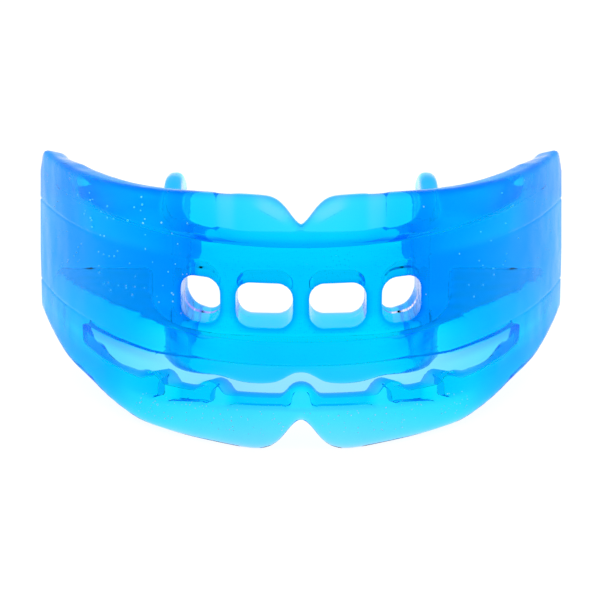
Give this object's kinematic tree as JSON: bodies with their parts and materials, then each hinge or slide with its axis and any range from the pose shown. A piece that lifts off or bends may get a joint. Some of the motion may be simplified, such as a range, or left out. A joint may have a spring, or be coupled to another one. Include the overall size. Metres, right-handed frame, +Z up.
{
  "type": "double mouthguard",
  "caption": "Translucent blue silicone mouthguard for upper and lower teeth, with front breathing ports and a bracket groove in the lower lip wall.",
  "frame": {"origin": "middle of the base of the bounding box, level with the lowest points of the two front lobes", "axes": "+Z up, square to the bite floors; -Y the way the front faces; +X the right of the front view; the part is symmetric about X = 0"},
  "size_m": [0.069, 0.051, 0.0286],
  "materials": {
    "silicone": "gloss"
  },
  "bodies": {
    "root": {"upper_outer_wall": "silicone", "upper_inner_wall": "silicone", "upper_bite_floor": "silicone", "airway_pillar_left": "silicone", "airway_pillar_centre": "silicone", "airway_pillar_right": "silicone", "bite_block_left": "silicone", "bite_block_right": "silicone", "lower_bite_floor": "silicone", "lower_outer_wall": "silicone", "lip_band": "silicone", "lower_inner_wall": "silicone"}
  },
  "joints": []
}
